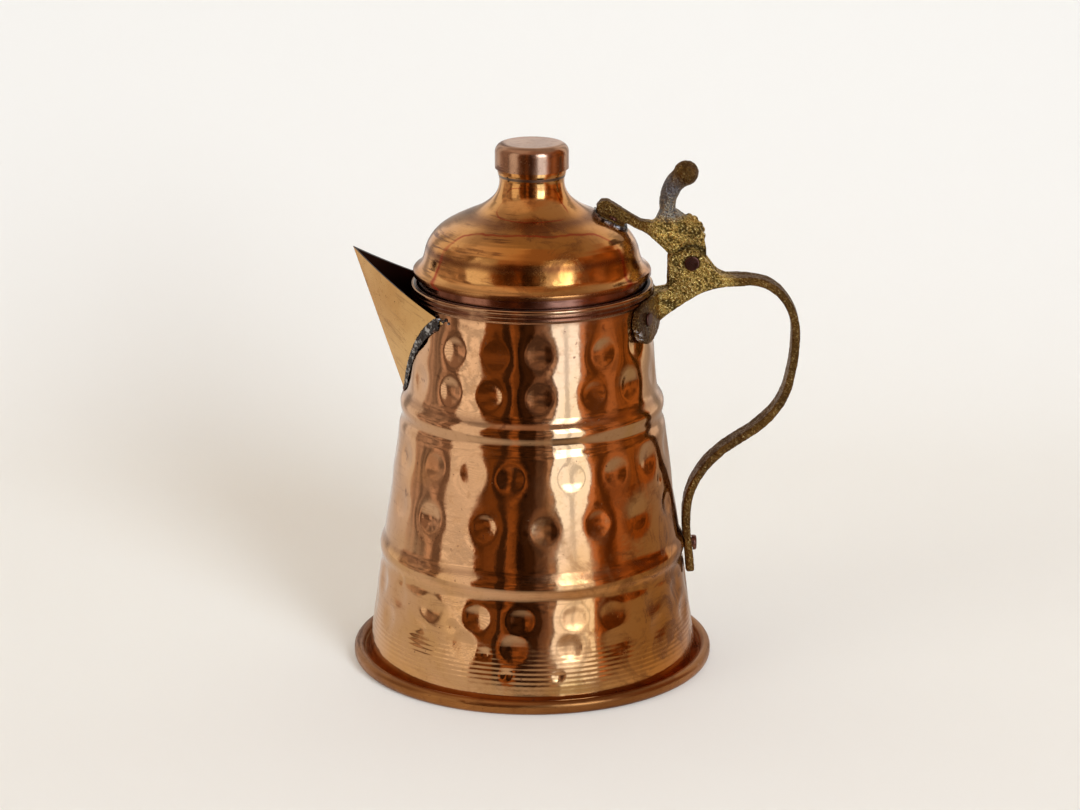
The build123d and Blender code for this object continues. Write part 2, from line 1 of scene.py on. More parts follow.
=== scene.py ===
# %% [markdown]
# # A copper coffee pot, piece by piece
# The pot is sheet copper: a hammered body, a folded beak for a spout, a domed lid
# and a hollow knob. Its handle and the lid's lever are rough sand castings in brass.
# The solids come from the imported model, so every piece here already has its place.
# We give each one the surface that its making and its years of use have left on it.

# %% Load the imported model
import math
import random

import bmesh
import bpy
from mathutils import Matrix, Vector
from mathutils.bvhtree import BVHTree


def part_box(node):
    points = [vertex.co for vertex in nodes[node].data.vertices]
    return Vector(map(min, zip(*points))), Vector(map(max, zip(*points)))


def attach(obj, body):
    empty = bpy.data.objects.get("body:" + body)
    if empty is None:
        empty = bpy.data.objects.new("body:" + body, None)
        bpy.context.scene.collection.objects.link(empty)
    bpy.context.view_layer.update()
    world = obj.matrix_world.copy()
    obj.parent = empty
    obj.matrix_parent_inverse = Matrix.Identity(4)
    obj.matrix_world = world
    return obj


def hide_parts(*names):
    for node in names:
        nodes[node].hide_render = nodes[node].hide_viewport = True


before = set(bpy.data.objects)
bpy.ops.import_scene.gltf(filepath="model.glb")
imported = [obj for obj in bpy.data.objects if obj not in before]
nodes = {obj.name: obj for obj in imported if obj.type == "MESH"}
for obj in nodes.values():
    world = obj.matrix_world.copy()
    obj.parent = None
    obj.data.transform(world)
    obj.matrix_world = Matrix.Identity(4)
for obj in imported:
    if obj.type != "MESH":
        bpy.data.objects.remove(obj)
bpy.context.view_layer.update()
MM = 0.001
print("pieces:", ", ".join(sorted(nodes)))


# %% [markdown]
# ## Node arithmetic
# A material is a chain of small sums: where is the point, how tarnished is it, how
# rough. A recipe for a shape is a chain of sums too. Wiring those by hand is slow to
# read, so one small class lets us write a sum as Python does, and adds the Math node
# behind it. It serves shaders and Geometry Nodes alike.

# %% A value that can be added and multiplied
class Amount:
    """What comes out of a node. Sums with it add Math nodes."""

    def __init__(self, sheet, socket):
        self.sheet, self.socket = sheet, socket

    def math(self, operation, *others):
        values = dict(enumerate((self, *others)))
        return self.sheet.add("ShaderNodeMath", {"operation": operation}, values)

    def flipped(self, operation, other):
        return self.sheet.add("ShaderNodeMath", {"operation": operation}, {0: other, 1: self})

    def __add__(self, other):
        return self.math("ADD", other)

    def __sub__(self, other):
        return self.math("SUBTRACT", other)

    def __rsub__(self, other):
        return self.flipped("SUBTRACT", other)

    def __mul__(self, other):
        return self.math("MULTIPLY", other)

    def __truediv__(self, other):
        return self.math("DIVIDE", other)

    def __rtruediv__(self, other):
        return self.flipped("DIVIDE", other)

    def __pow__(self, other):
        return self.math("POWER", other)

    __radd__, __rmul__ = __add__, __mul__

    def sine(self):
        return self.math("SINE")

    def size(self):
        return self.math("ABSOLUTE")

    def least(self, other):
        return self.math("MINIMUM", other)

    def most(self, other):
        return self.math("MAXIMUM", other)

    def ramp(self, start, end):
        """0 before start, 1 after end, and smooth between them. End may be the smaller one."""
        low, high = min(start, end), max(start, end)
        settings = {"interpolation_type": "SMOOTHSTEP", "clamp": True}
        inputs = {"Value": self, "From Min": low, "From Max": high}
        made = self.sheet.add("ShaderNodeMapRange", settings, inputs)
        return made if start < end else 1 - made

    def near(self, middle, half):
        """1 at middle, fading to 0 at half to each side."""
        return ((self - middle).size() / half).ramp(1, 0)


def sum_of(amounts):
    total = amounts[0]
    for amount in amounts[1:]:
        total = total + amount
    return total


# %% [markdown]
# ## A tree written down as a list
# Every other node has a kind, some settings and some sockets. One method takes those
# three and adds the node, so a tree reads from top to bottom like a list of steps.

# %% A tree under construction
class Sheet:
    """A node tree under construction."""

    def __init__(self, tree):
        self.tree = tree
        tree.nodes.clear()

    def add(self, kind, settings, inputs, output=0):
        """A node of a kind: its settings first, then the values or links of its sockets."""
        node = self.tree.nodes.new(kind)
        for key, value in settings.items():
            setattr(node, key, value)
        for key, value in inputs.items():
            if isinstance(value, Amount):
                self.tree.links.new(value.socket, node.inputs[key])
            else:
                node.inputs[key].default_value = value
        return Amount(self, node.outputs[output]) if len(node.outputs) else node

    def other(self, amount, output):
        """Another output of the node that made an amount."""
        return Amount(self, amount.socket.node.outputs[output])

    def parts(self, vector):
        first = self.add("ShaderNodeSeparateXYZ", {}, {"Vector": vector})
        return [self.other(first, axis) for axis in "XYZ"]

    def joined(self, x, y, z):
        return self.add("ShaderNodeCombineXYZ", {}, {"X": x, "Y": y, "Z": z})

    def noise(self, scale, detail=2.0, rough=0.5, vector=None, warp=0.0):
        inputs = {"Scale": scale, "Detail": detail, "Roughness": rough, "Distortion": warp}
        if vector:
            inputs["Vector"] = vector
        return self.add("ShaderNodeTexNoise", {}, inputs)

    def blend(self, share, first, second):
        """A colour between two others. Each is a colour or an amount that holds one."""
        first, second = (hue if isinstance(hue, Amount) else (*hue, 1.0) for hue in (first, second))
        return self.add("ShaderNodeMix", {"data_type": "RGBA"}, {0: share, 6: first, 7: second}, 2)


# %% [markdown]
# ## Finishes and recipes
# A finish is a material, and its patterns lie on Object coordinates, so they keep their
# true size in metres on every piece. A recipe is a Geometry Nodes tree with named
# inputs. We run it on an object once, and keep the plain mesh that comes out.

# %% A finish for a surface
class Finish(Sheet):
    """A material under construction. Its patterns lie on Object coordinates, in metres."""

    def __init__(self, name):
        self.material = bpy.data.materials.new(name)
        self.material.use_nodes = True
        super().__init__(self.material.node_tree)
        self.place = self.add("ShaderNodeTexCoord", {}, {}, "Object")
        self.facing = self.other(self.place, "Normal")
        self.x, self.y, self.z = self.parts(self.place)

    def noise(self, scale, detail=2.0, rough=0.5, vector=None, warp=0.0):
        return super().noise(scale, detail, rough, vector or self.place, warp)

    def gap_to(self, place):
        """How far a point of the surface is from a place."""
        x, y, z = place
        return ((self.x - x) ** 2 + (self.y - y) ** 2 + (self.z - z) ** 2) ** 0.5

    def bump(self, height, distance, under=None):
        inputs = {"Height": height, "Distance": distance}
        if under:
            inputs["Normal"] = under
        return self.add("ShaderNodeBump", {}, inputs)

    def end(self, colour, roughness, normal):
        """Ends the finish in one surface of bare metal."""
        inputs = {"Base Color": colour, "Roughness": roughness, "Metallic": 1.0, "Normal": normal}
        shader = self.add("ShaderNodeBsdfPrincipled", {}, inputs)
        self.add("ShaderNodeOutputMaterial", {}, {"Surface": shader})
        return self.material


# %% A recipe for a shape
class Recipe(Sheet):
    """A Geometry Nodes tree with named inputs."""

    kinds = {float: "NodeSocketFloat", int: "NodeSocketInt", bpy.types.Object: "NodeSocketObject",
             bpy.types.Material: "NodeSocketMaterial"}

    def __init__(self, name, **inputs):
        super().__init__(bpy.data.node_groups.new(name, "GeometryNodeTree"))
        face = self.tree.interface
        face.new_socket(name="Geometry", in_out="OUTPUT", socket_type="NodeSocketGeometry")
        face.new_socket(name="Geometry", in_out="INPUT", socket_type="NodeSocketGeometry")
        for key, value in inputs.items():
            face.new_socket(name=key, in_out="INPUT", socket_type=self.kinds[type(value)])
        self.values = inputs
        self.start = self.add("NodeGroupInput", {}, {})
        self.inputs = {key: self.other(self.start, key) for key in inputs}

    def finish_on(self, thing, shape, material):
        """Ends the recipe, runs it on a thing and leaves the thing a plain mesh."""
        shape = self.add("GeometryNodeRealizeInstances", {}, {"Geometry": shape})
        shape = self.add("GeometryNodeSetMaterial", {}, {"Geometry": shape, "Material": material})
        self.add("NodeGroupOutput", {}, {0: shape})
        modifier = thing.modifiers.new("recipe", "NODES")
        modifier.node_group = self.tree
        for item in self.tree.interface.items_tree:
            if item.in_out == "INPUT" and item.name in self.values:
                modifier[item.identifier] = self.values[item.name]
        return settled(thing)


def settled(thing):
    """Applies what a thing's modifiers make, and removes them."""
    bpy.context.view_layer.update()
    graph = bpy.context.evaluated_depsgraph_get()
    mesh = bpy.data.meshes.new_from_object(thing.evaluated_get(graph), depsgraph=graph)
    thing.modifiers.clear()
    thing.data = mesh
    mesh.name = thing.name
    return thing


# %% New objects, and new materials on old ones
def placed(name, data):
    """An object in the scene that holds some data."""
    thing = bpy.data.objects.new(name, data)
    bpy.context.scene.collection.objects.link(thing)
    return thing


def new_thing(name, points, edges=(), faces=()):
    mesh = bpy.data.meshes.new(name)
    mesh.from_pydata([tuple(p) for p in points], list(edges), list(faces))
    return placed(name, mesh)


def dress(material, *names):
    """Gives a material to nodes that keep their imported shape."""
    for name in names:
        mesh = nodes[name].data
        mesh.materials.clear()
        mesh.materials.append(material)
        print(name, "wears", material.name)


# %% [markdown]
# ## What lies on the copper
# Old copper carries its story in layers: blotches where it got hot and wet, smears that
# follow the turning, dirt in the corners that a cloth doesn't reach, painted shade at the
# collar under the lid's flange, and red lines where drops have dried. A painter would glaze
# these one over another. So do we: each layer is a mask made from noise, and it blends the
# colour and dulls the gloss.

# %% Colours and reliefs
rosy, brown = (0.67, 0.37, 0.19), (0.62, 0.32, 0.1)
golden, orange = (0.73, 0.36, 0.12), (0.6, 0.23, 0.05)
halo_brown, blotch_brown, tide_red = (0.52, 0.2, 0.04), (0.22, 0.075, 0.02), (0.4, 0.04, 0.01)
# The near black for the beak's inside is painted shade
tin, dull_tin, beak_shade_black = (0.5, 0.48, 0.45), (0.42, 0.3, 0.22), (0.05, 0.016, 0.01)
skin_relief, turned_relief, ring_pitch = 0.12 * MM, 0.03 * MM, 1.5 * MM
print("turned rings every", ring_pitch / MM, "mm")


# %% The layers
def blotches(finish, colour, gloss, patch, place, reach):
    """Brown blotches with a paler halo, round a place."""
    field = (finish.gap_to(place) / reach + patch - 0.5).ramp(1, 0.3)
    colour = finish.blend(field, colour, halo_brown)
    field = field * finish.noise(70, 6, 0.7, warp=1.2).ramp(0.46, 0.62)
    return finish.blend(field * 0.75, colour, blotch_brown), gloss + field * 0.2


def smears(finish, colour, gloss, along, deep, share):
    """Brown smears, long round the pot and thin along the wall."""
    lie = finish.joined(finish.x * 60, finish.y * 60, along * 620)
    smear = finish.noise(1, 4, 0.65, lie, 0.3).ramp(0.52, 0.66)
    smear = smear * finish.noise(45, 3, 0.6).ramp(0.48, 0.62) * share
    return finish.blend(smear, colour, deep), gloss + smear * 0.2


def dirt_and_shade_ring(finish, colour, gloss, cloud, deep, ring):
    """A darker brown ring: soiling in grooves and steps, and painted shade at the collar under the
    lid's flange. Its height, half height and strength.
    """
    middle, half, strength = ring
    wavy = finish.z + (cloud - 0.5) * (3 * MM)
    # Darker in a ring: painted shade at the collar, dirt on the beads and on the lid
    mottle = wavy.near(middle, half) * finish.noise(55, 4, 0.65).ramp(0.2, 0.5) * strength
    return finish.blend(mottle, colour, deep), gloss + mottle * 0.15


def tide_line(finish, colour, way_round, tide):
    """A thin red line round a rounded field: its half turn, middle height and half height."""
    half_turn, middle, half_height = tide
    wander = finish.noise(90, 3, 0.6) * 0.7 + 0.65
    field = (way_round / half_turn) ** 4 + ((finish.z - middle) / half_height) ** 4
    line = (field * wander).near(1.0, 0.16) * finish.noise(60, 2).ramp(0.36, 0.5)
    return finish.blend(line * 0.85, colour, tide_red)


# %% [markdown]
# ## Inside and outside
# The pot is lined with tin, as a pot for drink has to be, and the lid is dull inside. The
# beak's inside is painted near black, as shade inside its fold. The sheet is one solid, so its
# two sides share a material, and the material has to tell them apart. A face that looks
# towards the middle of its piece is inside.

# %% How much a face looks outwards
def off_axis(finish, nx, ny, nz):
    """For the body: away from the pot's axis."""
    return nx * finish.x + ny * finish.y


def off_dome(finish, nx, ny, nz, dome_middle=0.12):
    """For the lid: away from a point on the axis below the dome."""
    return off_axis(finish, nx, ny, nz) + nz * (finish.z - dome_middle)


def off_fold(finish, nx, ny, nz, lean=0.004):
    """For the beak: away from the upright plane in its middle, and from the pot."""
    return ny * finish.y - nx * lean


# %% [markdown]
# ## Copper
# Polished copper takes most of its looks from the room around it. What is its own is
# the colour, a thin uneven tarnish, fine rings from turning, and a few brown specks.
# All the coppers of the pot come from one function, because they are one metal in
# different states of wear.

# %% The copper finish
def copper(name, bright, dull, rough, stains=None, tides=(), streaks=0.0, brush=0.0, rings=(),
           lining=None, dirt_and_shade=()):
    """Worn copper. Stains is a place and a reach, streaks the share of smears, brush how satin
    the turning left it, and rings the low and high z of turned rings. Lining is a way to tell
    the outside, and the inside's colour. Tides, and the rings of soiling and of painted shade, are as
    the layers take them."""
    finish = Finish(name)
    x, y, z = finish.x, finish.y, finish.z
    way_round = x.math("ARCTAN2", y * -1) * math.degrees(1)
    along = z - (x * x + y * y) ** 0.5
    cloud = finish.noise(28, 5, 0.6, warp=0.4)
    fine = finish.noise(420, 4, 0.65)
    patch = finish.noise(11, 4, 0.6, warp=0.8)
    deep = (bright[0] * 0.22, bright[1] * 0.13, bright[2] * 0.12)
    dusty = (dull[0] * 0.6, dull[1] * 0.5, dull[2] * 0.4)
    colour = finish.blend(patch.ramp(0.4, 0.66), bright, dull)
    colour = finish.blend(fine.ramp(0.5, 0.8) * 0.35, colour, dusty)
    spots = finish.noise(140, 3, 0.55).ramp(0.66, 0.74) * 0.6
    specks = finish.noise(750, 2, 0.5).ramp(0.68, 0.78) * 0.6
    colour = finish.blend(spots.most(specks), colour, deep)
    gloss = rough + cloud.ramp(0.4, 0.7) * 0.08 + fine.ramp(0.45, 0.8) * 0.1 + specks * 0.3
    if stains:
        colour, gloss = blotches(finish, colour, gloss, patch, *stains)
    if streaks:
        colour, gloss = smears(finish, colour, gloss, along, deep, streaks)
    for ring in dirt_and_shade:
        colour, gloss = dirt_and_shade_ring(finish, colour, gloss, cloud, deep, ring)
    for tide in tides:
        colour = tide_line(finish, colour, way_round, tide)
    if lining:
        outward, inner = lining
        inward = outward(finish, *finish.parts(finish.facing)).ramp(0.5 * MM, -0.5 * MM)
        worn = finish.blend(patch.ramp(0.35, 0.6), inner, tuple(part * 0.5 for part in inner))
        colour = finish.blend(inward, colour, worn)
        gloss = gloss + inward * 0.22
    normal = finish.bump(finish.noise(120, 3, 0.5) * 0.6 + fine * 0.12, skin_relief)
    if brush:
        lines = finish.noise(1, 3, 0.7, finish.joined(x * 12, y * 12, along * 4200))
        gloss = gloss + (lines * 0.25 + 0.05) * brush
        normal = finish.bump(lines * brush, turned_relief, normal)
    if rings:
        wobble = z * (2 * math.pi / ring_pitch) + finish.noise(30, 2) * 2.5
        belts = sum_of([z.near((low + high) / 2, (high - low) / 2) for low, high in rings])
        waves = wobble.sine() * belts * finish.noise(45, 2) * 0.9
        normal = finish.bump(waves, turned_relief, normal)
    return finish.end(colour, gloss.least(0.6), normal)


# %% The coppers of the pot
# Blotches by place and reach, dirt and painted shade by height, half height and strength, and
# tides by half turn, height and half height
foot_blotch, dome_blotch = ((0.052, -0.02, 0.024), 0.07), ((0.004, -0.03, 0.147), 0.026)
# The collar's dark ring is painted shade under the lid's flange; the rings on the beads and the lid
# are dirt
collar_shade = (0.1243, 0.0034, 1)
upper_bead_dirt, lower_bead_dirt = (0.0905, 0.002, 0.4), (0.0425, 0.002, 0.4)
flange_dirt, shoulder_dirt, neck_dirt = (0.1298, 0.0022, 1), (0.1385, 0.0022, 0.8), (0.149, 0.002, 0.7)
wall_tide, dome_tide = (58, 0.1375, 0.0095), (48, 0.1545, 0.0045)
body_copper = copper("body copper", rosy, brown, 0.04, foot_blotch, streaks=0.2,
                     rings=[(0.004, 0.023)], lining=(off_axis, tin),
                     dirt_and_shade=(collar_shade, upper_bead_dirt, lower_bead_dirt))
lid_copper = copper("lid copper", golden, orange, 0.05, dome_blotch,
                    tides=(wall_tide, dome_tide), streaks=0.8, brush=0.25,
                    rings=[(0.138, 0.15)], lining=(off_dome, dull_tin),
                    dirt_and_shade=(flange_dirt, shoulder_dirt, neck_dirt))
knob_copper = copper("knob copper", (0.6, 0.34, 0.2), (0.3, 0.14, 0.08), 0.1, streaks=0.8, brush=0.4)
# Inside, the beak is painted near black, as shade in its fold
spout_copper = copper("spout copper", (0.84, 0.5, 0.19), (0.64, 0.32, 0.09), 0.18, streaks=0.3,
                      lining=(off_fold, beak_shade_black))
rim_copper = copper("base rim copper", (0.42, 0.175, 0.05), (0.24, 0.09, 0.025), 0.2,
                    streaks=0.6, brush=0.5)
sleeve_copper = copper("sleeve copper", (0.3, 0.12, 0.07), (0.1, 0.04, 0.025), 0.15, streaks=0.9)
coppers = [body_copper, lid_copper, knob_copper, spout_copper, rim_copper, sleeve_copper]
print("coppers:", ", ".join(material.name for material in coppers))


# %% [markdown]
# ## The body's section
# The body is one turned sheet, so its section tells nearly all. It could be typed in
# again, but then two files would have to agree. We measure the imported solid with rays
# instead, at one height after another, and get its outside and its lining.

# %% Measure the wall
def section_of(node, heights):
    """(radius, height) pairs up the outside of a turned node, and up its inside."""
    mesh = nodes[node].data
    net = BVHTree.FromPolygons([v.co for v in mesh.vertices], [p.vertices for p in mesh.polygons])
    outside, inside = [], []
    for z in heights:
        far = net.ray_cast(Vector((0, 0.2, z)), Vector((0, -1, 0)))[0]
        near = net.ray_cast(Vector((0, 0, z)), Vector((0, 1, 0)))[0]
        outside.append((far.y, z))
        inside.append((near.y, z))
    return outside, inside


def spread(low, high, step):
    count = max(1, round((high - low) / step))
    return [low + (high - low) * i / count for i in range(count)]


low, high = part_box("body_shell")
edge, foot_lip, foot_top, collar_foot = 0.02 * MM, 0.9 * MM, 5.5 * MM, 0.122
foot_step, wall_step, collar_step = 0.45 * MM, 0.82 * MM, 0.24 * MM
rising = [low.z + edge, low.z + foot_lip - edge, low.z + foot_lip + edge]
rising += spread(low.z + 1.0 * MM, foot_top, foot_step) + spread(foot_top, collar_foot, wall_step)
rising += spread(collar_foot, high.z - edge, collar_step) + [high.z - edge]
wall_outside, wall_inside = section_of("body_shell", rising)
foot_rows, collar_rows, thinned = 12, 20, 3
coarse = wall_inside[:foot_rows] + wall_inside[foot_rows:-collar_rows:thinned]
coarse += wall_inside[-collar_rows:]
section = wall_outside + coarse[::-1]
loop = [(i, (i + 1) % len(section)) for i in range(len(section))]
wall_section = new_thing("pot_body", [(r, 0, z) for r, z in section], loop)
print("section points:", len(section), "radius at the foot", round(wall_outside[0][0], 4),
      "and at the mouth", round(wall_outside[-1][0], 4))


# %% [markdown]
# ## Where the hammer fell
# A smith has struck the body with a round hammer, in rows round the pot. A row of even
# dents would look stamped, so the marks stand where a hand put them: the front rows
# as they are seen, and the rest at a pitch that chance moves a little. They are loose
# points for now, because a recipe can ask how far off the nearest point is.

# %% Points on the wall
def wall_radius(z):
    return min(wall_outside, key=lambda point: abs(point[1] - z))[0]


def on_wall(turn, z):
    """A point of the wall, at a turn in degrees from the camera's side towards the handle."""
    angle = math.radians(turn)
    r = wall_radius(z)
    return (r * math.sin(angle), -r * math.cos(angle), z)


def hammer_row(z, struck, pitch, chance):
    """Marks in a row: struck ones on the front, and about evenly on the way round the back."""
    turns = list(struck)
    way_back = struck[0] + 360 - struck[-1]
    count = round(way_back / pitch)
    turns += [struck[-1] + way_back * i / count + chance.uniform(-2, 2) for i in range(1, count)]
    return [on_wall(turn, z + chance.uniform(-0.7, 0.7) * MM) for turn in turns]


# Height of a row, turns of its marks on the front, and the pitch of the others
hammer_rows = [
    (0.1118, (-39, -17, 3.2, 35.8), 23), (0.0985, (-40.4, -19.6, 3.5, 29.5), 23),
    (0.0735, (-45, -25.8, -9, 16.5, 37.1), 22), (0.0572, (-45.1, -19.0, 4.6, 27.0, 47.0), 22.5),
    (0.0292, (-20.3, -4.1, 15.6, 30.4), 18), (0.0200, (-6.4, 13.7), 20),
]
hammer_chance = random.Random(7)
marks = [mark for row in hammer_rows for mark in hammer_row(*row, hammer_chance)]
hammer_marks = new_thing("hammer_marks", marks)
# Small sharp knocks, by turn and height
knock_places = [(-30, 0.0245), (-44, 0.0215), (-9, 0.0115), (9, 0.0108), (-17, 0.0175),
                (-58, 0.0335), (100, 0.03), (150, 0.062), (-140, 0.02), (65, 0.066)]
knock_marks = new_thing("knock_marks", [on_wall(turn, z) for turn, z in knock_places])
print("hammer marks:", len(marks), "knocks:", len(knock_places))


# %% [markdown]
# ## The strainer
# Behind the beak the wall is pierced, so that the grounds stay in the pot. A picture
# with holes would look flat from inside, so we drill real ones. Their places are
# points on the wall too, five in the top row and one fewer in each row below.

# %% The holes of the strainer
strainer_rows, top_hole_z, row_step, hole_pitch, wall_r = 5, 116.5, 4.7, 5.2, 38.0
hole_turn = math.degrees(hole_pitch / wall_r)
strainer = []
for row in range(strainer_rows):
    count = strainer_rows - row
    for hole in range(count):
        turn = -90 + (hole - (count - 1) / 2) * hole_turn
        strainer.append(on_wall(turn, (top_hole_z - row_step * row) * MM))
strainer_points = new_thing("strainer_points", strainer)
print("strainer holes:", len(strainer))


# %% [markdown]
# ## The recipe for the wall
# Geometry Nodes sweep the section round a circle, and every point keeps its radius and
# its turn as attributes. A sculpting brush could dent the wall by hand, but a dent is
# a rule: a point moves inwards by how near it is to a hammer mark, and Geometry
# Proximity finds the nearest. Then a rod stands on every point of the strainer, and
# Mesh Boolean takes the rods away. So the whole wall is one recipe, with its sizes as
# inputs.

# %% Sweep the section round
wall = Recipe("hammered wall", segments=384, marks=hammer_marks, knocks=knock_marks,
              holes=strainer_points, mark_radius=4.5 * MM, mark_depth=0.34 * MM,
              sag_radius=8.0 * MM, sag_depth=0.3 * MM, knock_radius=2.4 * MM,
              knock_depth=0.45 * MM, sway=0.09 * MM, hole_radius=1.5 * MM, hole_depth=8 * MM,
              copper=body_copper)
size = wall.inputs


def kept(shape, kind, name, value):
    """A shape whose points keep a value by name."""
    settings = {"data_type": kind, "domain": "POINT"}
    inputs = {"Geometry": shape, "Name": name, "Value": value}
    return wall.add("GeometryNodeStoreNamedAttribute", settings, inputs)


def recalled(kind, name):
    return wall.add("GeometryNodeInputNamedAttribute", {"data_type": kind}, {"Name": name})


place = wall.add("GeometryNodeInputPosition", {}, {})
outline = kept(wall.start, "FLOAT_VECTOR", "section", place)
outline = wall.add("GeometryNodeMeshToCurve", {}, {"Mesh": outline})
circle = wall.add("GeometryNodeCurvePrimitiveCircle", {"mode": "RADIUS"},
                  {"Resolution": size["segments"], "Radius": 1.0})
share = wall.add("GeometryNodeSplineParameter", {}, {}, "Factor")
circle = kept(circle, "FLOAT", "way_round", share)
swept = wall.add("GeometryNodeCurveToMesh", {}, {"Curve": circle, "Profile Curve": outline})
across, _, up = wall.parts(recalled("FLOAT_VECTOR", "section"))
angle = recalled("FLOAT", "way_round") * (2 * math.pi)
out_x, out_y = angle.math("COSINE"), angle.sine()
turned = wall.add("GeometryNodeSetPosition", {},
                  {"Geometry": swept, "Position": wall.joined(across * out_x, across * out_y, up)})
print("wall turned in", wall.values["segments"], "segments")


# %% Let the hammer fall
def points_of(helper):
    settings = {"transform_space": "ORIGINAL"}
    return wall.add("GeometryNodeObjectInfo", settings, {"Object": helper}, "Geometry")


def distance_to(helper):
    """How far a point of the wall is from the nearest point of a helper."""
    return wall.add("GeometryNodeProximity", {"target_element": "POINTS"}, {0: points_of(helper)},
                    "Distance")


gap = distance_to(size["marks"])
bowl = 1 - (gap / size["mark_radius"]).least(1.0) ** 2
sag = (1 - (gap / size["sag_radius"]).least(1.0) ** 2) ** 2
crease = wall.noise(350, 2, 0.5)
knock_gap = distance_to(size["knocks"]) * (0.55 + crease * 0.9)
knock = (1 - (knock_gap / size["knock_radius"]).least(1.0)) ** 1.5
force = wall.noise(60, 0, 0.5) * 1.4 + 0.3
inward = (bowl * size["mark_depth"] + sag * size["sag_depth"]) * force
inward = inward + knock * size["knock_depth"] + wall.noise(38, 2, 0.5) * size["sway"]
below_collar, above_foot = up.ramp(0.1205, 0.117), up.ramp(0.0035, 0.006)
inward = inward * below_collar * above_foot * -1
struck = wall.add("GeometryNodeSetPosition", {},
                  {"Geometry": turned, "Offset": wall.joined(inward * out_x, inward * out_y, 0.0)})
deepest = wall.values["mark_depth"] + wall.values["sag_depth"]
print("a mark is about", round(deepest / MM, 2), "mm deep")


# %% Drill the strainer, and settle the wall
rod = wall.add("GeometryNodeMeshCylinder", {"fill_type": "NGON"},
               {"Vertices": 24, "Radius": size["hole_radius"], "Depth": size["hole_depth"]})
spots = wall.add("GeometryNodeMeshToPoints", {}, {"Mesh": points_of(size["holes"])})
spot_x, spot_y, _ = wall.parts(wall.add("GeometryNodeInputPosition", {}, {}))
square = wall.add("FunctionNodeAlignRotationToVector", {"axis": "Z"},
                  {"Vector": wall.joined(spot_x, spot_y, 0.0)})
drills = wall.add("GeometryNodeInstanceOnPoints", {},
                  {"Points": spots, "Instance": rod, "Rotation": square})
drills = wall.add("GeometryNodeRealizeInstances", {}, {"Geometry": drills})
drilled = wall.add("GeometryNodeMeshBoolean", {"operation": "DIFFERENCE", "solver": "EXACT"},
                   {"Mesh 1": struck, "Mesh 2": drills})
drilled = wall.add("GeometryNodeSetShadeSmooth", {}, {0: drilled})
body = wall.finish_on(wall_section, drilled, size["copper"])
work = bmesh.new()
work.from_mesh(body.data)
bmesh.ops.recalc_face_normals(work, faces=work.faces)
work.to_mesh(body.data)
work.free()
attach(body, "pot")
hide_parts("body_shell")
print("body faces:", len(body.data.polygons))
for helper in (hammer_marks, knock_marks, strainer_points):
    bpy.data.objects.remove(helper)


# %% [markdown]
# ## Cast brass
# The handle and the lever came out of a sand mould and were hardly cleaned: the skin
# is grainy and brown in its pits, and it is painted with bright glints on its high grain points,
# browner tops as painted shade and dark rings of painted shade round the hinge pin. Two noises
# give the grain and the lumps. The same two drive colour, gloss and bump, so that a bright point
# looks like a high one.

# %% The cast brass finish
low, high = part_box("hinge_pin")
pin_x, pin_z = (low.x + high.x) / 2, (low.z + high.z) / 2
# The top faces' brown and the hinge rings' black are painted shade, the grain's gold is painted
# glints, and the blue-grey is a painted reflection of the sky
top_shade_brown, worn_brown, patch_brown = (0.17, 0.082, 0.022), (0.15, 0.075, 0.022), (0.09, 0.045, 0.02)
pit_black, hinge_shade_black, grain_glint_gold = (0.05, 0.028, 0.008), (0.03, 0.018, 0.008), (1.0, 0.77, 0.3)
sky_reflection_grey, solder_grey = (0.2, 0.23, 0.26), (0.7, 0.68, 0.64)
grain_relief, lump_relief = 0.7 * MM, 1.3 * MM


def brass(name, gold, olive, golden, sky_spot=None, glints=None, dark_patch=None, rings=()):
    """Cast brass. Golden and the next three are each a place and a reach: where the metal is
    bright, where a blue-grey reflection of the sky is painted, where solder has run on it and
    where it is a darker brown. Rings are rings of painted shade round the hinge pin's axis,
    by middle radius and half width."""
    finish = Finish(name)

    def around(spot):
        place, reach = spot
        return (finish.gap_to(place) / reach + finish.noise(160, 3) * 0.8 - 0.4).ramp(1.2, 0.7)

    nz = finish.parts(finish.facing)[2]
    grain = finish.noise(1300, 3, 0.6)
    lumps = finish.noise(340, 4, 0.6, warp=0.5)
    warm = around(golden)
    raised = (grain * 0.5 + lumps * 0.5).ramp(0.43, 0.55)
    colour = finish.blend(warm, olive, gold)
    # Top faces are browner: painted shade by facing
    colour = finish.blend(nz.ramp(0.3, 0.8) * (1 - warm) * 0.85, colour, top_shade_brown)
    worn = finish.noise(85, 4, 0.6).ramp(0.46, 0.62)
    colour = finish.blend(worn * (0.75 - warm * 0.35), colour, worn_brown)
    if dark_patch:
        colour = finish.blend(around(dark_patch) * 0.8, colour, patch_brown)
    colour = finish.blend((1 - raised) * (0.35 + warm * 0.5), colour, pit_black)
    # Bright gold points on the grain: painted glints
    colour = finish.blend(grain.ramp(0.56, 0.66) * (0.2 + warm * 0.8), colour, grain_glint_gold)
    # A blue-grey spot: a painted reflection of the sky
    if sky_spot:
        colour = finish.blend(around(sky_spot) * 0.65, colour, sky_reflection_grey)
    if glints:
        colour = finish.blend(around(glints) * lumps.ramp(0.53, 0.6), colour, solder_grey)
    # Dark rings round the hinge pin: painted shade
    pin_gap = ((finish.x - pin_x) ** 2 + (finish.z - pin_z) ** 2) ** 0.5
    for middle, half in rings:
        dark = (pin_gap + (lumps - 0.5) * MM).near(middle, half)
        colour = finish.blend(dark * 0.85, colour, hinge_shade_black)
    gloss = 0.24 + (1 - raised) * 0.3 + nz.ramp(0.2, 0.8) * 0.2
    return finish.end(colour, gloss, finish.bump(grain, grain_relief, finish.bump(lumps, lump_relief)))


